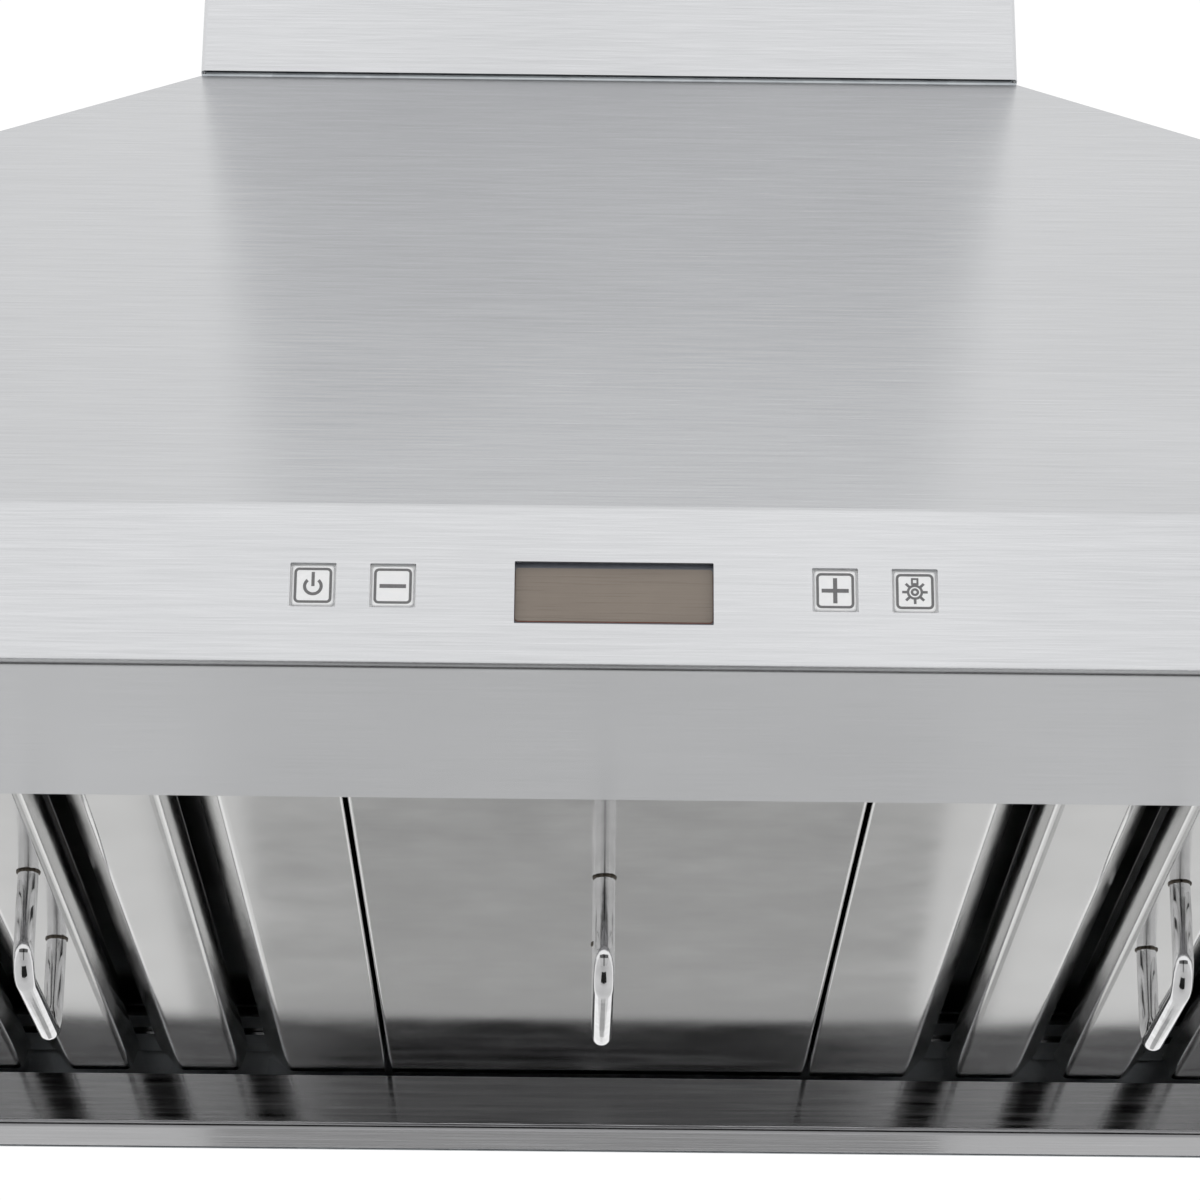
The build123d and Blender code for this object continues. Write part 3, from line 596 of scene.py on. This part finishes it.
def hollow_out(flat, line):
    """Leaves only an outline, line wide, of a flat piece."""
    select_only(flat)
    bpy.ops.object.mode_set(mode="EDIT")
    bpy.ops.mesh.select_all(action="SELECT")
    bpy.ops.mesh.inset(thickness=line)
    bpy.ops.mesh.delete(type="FACE")
    bpy.ops.object.mode_set(mode="OBJECT")
    return flat


def joined(pieces, name):
    select_only(*pieces)
    if len(pieces) > 1:
        bpy.ops.object.join()
    whole = bpy.context.view_layer.objects.active
    whole.name = name
    whole.data.name = name
    return whole


def set_down(piece, material, body):
    """Gives a finished piece its material and its body."""
    piece.data.materials.clear()
    piece.data.materials.append(material)
    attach(piece, body)
    return piece


# ---- key legends --------------------------------------------------------------------------------
LEGEND_RING = (11.9 * MM, 11.9 * MM)
LEGEND_LINE = 0.85 * MM
INK_DEPTH = 0.03 * MM


def power_sign(centre):
    """A ring that is open at the top, and an upright bar through the opening."""
    radius, line, opening = 3.1 * MM, 1.0 * MM, math.radians(38)
    ring = hollow_out(upright_disc(centre, radius), line)
    delete_faces(ring, lambda p: abs(math.atan2(p.x - centre.x, p.z - centre.z)) < opening)
    length = 4.8 * MM
    bar = upright_plate(centre + Vector((0, 0, length / 2)), (line, length))
    return [ring, bar]


def minus_sign(centre):
    return [upright_plate(centre, (8.3 * MM, 1.3 * MM))]


def plus_sign(centre):
    """One level bar and two half-length uprights, which meet it edge to edge."""
    reach, line = 8.5 * MM, 1.3 * MM
    stub = (reach - line) / 2
    shift = Vector((0, 0, (stub + line) / 2))
    uprights = [upright_plate(centre + side * shift, (line, stub)) for side in (-1, 1)]
    return [upright_plate(centre, (reach, line)), *uprights]


def light_sign(centre):
    """A lamp seen from below: two rings, seven rays and its square mount at the top."""
    outer = hollow_out(upright_disc(centre, 2.55 * MM), 0.78 * MM)
    inner = hollow_out(upright_disc(centre, 1.3 * MM), 0.75 * MM)
    ray, start, width = 1.5 * MM, 2.5 * MM, 0.85 * MM
    rays = []
    for step in range(1, 8):
        angle = math.radians(45 * step)
        out = Vector((math.sin(angle), 0, math.cos(angle)))
        rays.append(upright_plate(centre + out * (start + ray / 2), (width, ray), turn=angle))
    mount = hollow_out(upright_plate(centre + Vector((0, 0, 3.6 * MM)), (2.35 * MM, 2.3 * MM)), 0.62 * MM)
    return [outer, inner, mount, *rays]


def make_legends():
    """Prints a square ring and a sign on each key, on its front face."""
    signs = {
        "button_power": (power_sign, Vector((0, 0, -0.3 * MM))),
        "button_minus": (minus_sign, Vector((0, 0, 0))),
        "button_plus": (plus_sign, Vector((0, 0, 0))),
        "button_light": (light_sign, Vector((0, 0, -0.2 * MM))),
    }
    for key, (sign, shift) in signs.items():
        low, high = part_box(key)
        face = Vector(((low.x + high.x) / 2, low.y - 0.01 * MM, (low.z + high.z) / 2))
        ring = hollow_out(upright_plate(face, LEGEND_RING, corner=1.6 * MM), LEGEND_LINE)
        legend = joined([ring, *sign(face + shift)], key.replace("button", "legend"))
        apply_modifier(legend, "SOLIDIFY", thickness=INK_DEPTH, offset=1.0)
        set_down(legend, INK, key)


# ---- display ------------------------------------------------------------------------------------
def make_display():
    """The film on the window and the adhesive that shows below it."""
    centre = middle("display_window")
    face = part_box("display_window")[0].y
    width, bottom, top = 61.9 * MM, 16.9 * MM, 34.8 * MM
    film = upright_plate(
        Vector((centre.x, face - 0.06 * MM, (bottom + top) / 2)), (width, top - bottom), corner=1.0 * MM
    )
    apply_modifier(film, "SOLIDIFY", thickness=0.12 * MM, offset=1.0)
    apply_modifier(film, "BEVEL", width=0.04 * MM, segments=2)
    set_down(joined([film], "display_film"), FILM, "root")
    drop, spare = 0.55 * MM, 0.12 * MM
    under = upright_plate(
        Vector((centre.x, face - 0.01 * MM, (bottom + top - drop) / 2)),
        (width + 2 * spare, top - bottom - drop),
        corner=1.0 * MM,
    )
    under.data.transform(Matrix.Translation((0, 0, -drop / 2)))
    apply_modifier(under, "SOLIDIFY", thickness=0.05 * MM, offset=1.0)
    set_down(joined([under], "display_adhesive"), ADHESIVE, "root")


# ---- bail handles -------------------------------------------------------------------------------
ROD = 3.9 * MM
BEND = 11.5 * MM
ROD_SIDES = 28
BEND_STEPS = 10
FILTER_SLOPE = math.radians(1.7)
FILTER_REAR = (-38.0 * MM, 25.5 * MM)
HANDLE_SPAN = (-304.5 * MM, -212.5 * MM)
HANDLE_DROP = 39.1 * MM


def set_in_plane(piece, x):
    """Moves a piece drawn level on to the sloping plane of the filters, and freezes its place."""
    piece.rotation_euler = (FILTER_SLOPE, 0, 0)
    piece.location = (x, *FILTER_REAR)
    apply_place(piece)


def bail_rod():
    """A bent rod: down, round, along, round and up, pushed out from one ring."""
    front, rear = HANDLE_SPAN
    straight = HANDLE_DROP - BEND
    bpy.ops.object.select_all(action="DESELECT")
    bpy.ops.mesh.primitive_circle_add(vertices=ROD_SIDES, radius=ROD, location=(0, front, 0))
    rod = bpy.context.object
    apply_place(rod)
    bpy.ops.object.mode_set(mode="EDIT")
    bpy.ops.mesh.select_all(action="SELECT")
    bpy.ops.mesh.extrude_edges_move(TRANSFORM_OT_translate={"value": (0, 0, -straight)})
    quarter = {"steps": BEND_STEPS, "angle": -math.pi / 2, "axis": (1, 0, 0)}
    bpy.ops.mesh.spin(center=(0, front + BEND, -straight), **quarter)
    bpy.ops.mesh.extrude_edges_move(TRANSFORM_OT_translate={"value": (0, rear - front - 2 * BEND, 0)})
    bpy.ops.mesh.spin(center=(0, rear - BEND, -straight), **quarter)
    bpy.ops.mesh.extrude_edges_move(TRANSFORM_OT_translate={"value": (0, 0, straight)})
    bpy.ops.mesh.select_all(action="SELECT")
    bpy.ops.mesh.remove_doubles(threshold=TOUCHING)
    bpy.ops.mesh.fill_holes(sides=0)
    bpy.ops.mesh.select_all(action="SELECT")
    bpy.ops.mesh.normals_make_consistent(inside=False)
    bpy.ops.object.mode_set(mode="OBJECT")
    bpy.ops.object.shade_smooth_by_angle(angle=math.radians(50))
    return rod


def weld_bead(y, seed):
    """A low uneven ring of weld round a leg, with a run of metal to one side."""
    bpy.ops.object.select_all(action="DESELECT")
    bpy.ops.mesh.primitive_torus_add(
        location=(0, y, -0.2 * MM),
        major_radius=ROD + 0.1 * MM,
        minor_radius=0.55 * MM,
        major_segments=36,
        minor_segments=10,
    )
    bead = bpy.context.object
    apply_place(bead)
    bpy.ops.object.mode_set(mode="EDIT")
    bpy.ops.mesh.select_all(action="SELECT")
    bpy.ops.transform.vertex_random(offset=0.35 * MM, seed=seed)
    bpy.ops.object.mode_set(mode="OBJECT")
    apply_modifier(bead, "SUBSURF", levels=1, render_levels=1)
    bpy.ops.object.shade_smooth()
    return bead


def make_handles():
    """A polished bail on every panel, in place of the CAD one, with its two weld beads."""
    for number, panel in enumerate(PANELS):
        x = middle(f"{panel}_handle").x
        rod = joined([bail_rod()], f"{panel}_bail")
        set_in_plane(rod, x)
        set_down(rod, FINISHES["polished_rod"], panel)
        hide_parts(f"{panel}_handle")
        beads = [weld_bead(y, 2 * number + end) for end, y in enumerate(HANDLE_SPAN)]
        welds = joined(beads, f"{panel}_bail_welds")
        set_in_plane(welds, x)
        set_down(welds, WELD, panel)


# ---- rolled filter channels ---------------------------------------------------------------------
SHEET = 0.8 * MM
FILTER_WIDTH = 238.6 * MM
FILTER_LENGTH = 437.0 * MM
CHANNEL_FLAT = 21.5 * MM
CHANNEL_PITCH = 47.9 * MM
FIRST_CHANNEL = 42.65 * MM
INNER_STRIP = 39.5 * MM
OUTER_STRIP = 29.0 * MM
WALL = 19.0 * MM
ROLL_STEPS = 8
# Each side of a channel is a rolled corner and a flange: radius, turn, then flange height and outward lean.
CENTRE_SIDE = (4.0 * MM, math.radians(60), 9.0 * MM, 0.3)
OUTER_SIDE = (5.0 * MM, math.radians(42), 9.5 * MM, 0.9)
EDGE_SIDE = (1.6 * MM, math.radians(90), WALL - 1.6 * MM, 0.0)


def roll_side(sheet, side, radius, turn, rise, lean):
    """Rolls up the sheet's left (-1) or right (1) edge and carries it on upwards as a flange."""
    edge = max(side * point.co.x for point in sheet.data.vertices)
    select_only(sheet)
    bpy.ops.object.mode_set(mode="EDIT")
    bpy.ops.mesh.select_mode(type="VERT")
    bpy.ops.mesh.select_all(action="DESELECT")
    bpy.ops.object.mode_set(mode="OBJECT")
    for point in sheet.data.vertices:
        point.select = side * point.co.x > edge - TOUCHING
    bpy.ops.object.mode_set(mode="EDIT")
    bpy.ops.mesh.spin(
        steps=ROLL_STEPS, angle=side * turn, center=(side * edge, 0, radius), axis=(0, 1, 0)
    )
    bpy.ops.mesh.extrude_edges_move(TRANSFORM_OT_translate={"value": (side * rise * lean, 0, rise)})
    bpy.ops.object.mode_set(mode="OBJECT")


def channel(left, right, left_side, right_side):
    """One channel from a flat sheet between left and right, with a rolled side at each."""
    bpy.ops.object.select_all(action="DESELECT")
    bpy.ops.mesh.primitive_plane_add(size=1, location=((left + right) / 2, -FILTER_LENGTH / 2, 0))
    sheet = bpy.context.object
    sheet.scale = (right - left, FILTER_LENGTH, 1)
    apply_place(sheet)
    roll_side(sheet, -1, *left_side)
    roll_side(sheet, 1, *right_side)
    bpy.ops.object.mode_set(mode="EDIT")
    bpy.ops.mesh.select_all(action="SELECT")
    bpy.ops.mesh.remove_doubles(threshold=TOUCHING)
    bpy.ops.mesh.normals_make_consistent(inside=False)
    bpy.ops.object.mode_set(mode="OBJECT")
    flat = max(sheet.data.polygons, key=lambda face: face.area)
    apply_modifier(sheet, "SOLIDIFY", thickness=SHEET, offset=math.copysign(1.0, flat.normal.z))
    select_only(sheet)
    bpy.ops.object.shade_smooth_by_angle(angle=math.radians(30))
    return sheet


def make_channels():
    """The five lower channels of each filter, in place of the CAD ones; left filters mirror the right."""
    for name in FILTERS:
        x = middle(f"{name}_frame").x
        out = math.copysign(1.0, x)
        spans = [(INNER_STRIP - FILTER_WIDTH / 2, -FILTER_WIDTH / 2, OUTER_SIDE, EDGE_SIDE)]
        for number in range(3):
            centre = CHANNEL_PITCH * number - FIRST_CHANNEL
            half = CHANNEL_FLAT / 2
            spans.append((centre + half, centre - half, OUTER_SIDE, CENTRE_SIDE))
        spans.append((FILTER_WIDTH / 2, FILTER_WIDTH / 2 - OUTER_STRIP, EDGE_SIDE, CENTRE_SIDE))
        pieces = []
        for outer, inner, outer_side, inner_side in spans:
            if out > 0:
                pieces.append(channel(inner, outer, inner_side, outer_side))
            else:
                pieces.append(channel(-outer, -inner, outer_side, inner_side))
        whole = joined(pieces, f"{name}_channels")
        set_in_plane(whole, x)
        set_down(whole, FINISHES["filter_stainless"], name)
        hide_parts(f"{name}_lower_baffles")


# ---- the scene ----------------------------------------------------------------------------------
make_camera()
make_studio(
    plain_stage("pale floor", "#DEDEDE", 0.8),
    plain_stage("black cloth", "#0C0C0C", 0.9),
    plain_stage("dark grey card", "#6C6C6C", 0.9),
    plain_stage("grey card", "#8C8C8C", 0.9),
    plain_stage("mid grey card", "#B8B8B8", 0.9),
    plain_stage("light grey card", "#E6E6E6", 0.9),
)
dress_cad_nodes()
make_legends()
make_display()
make_handles()
make_channels()
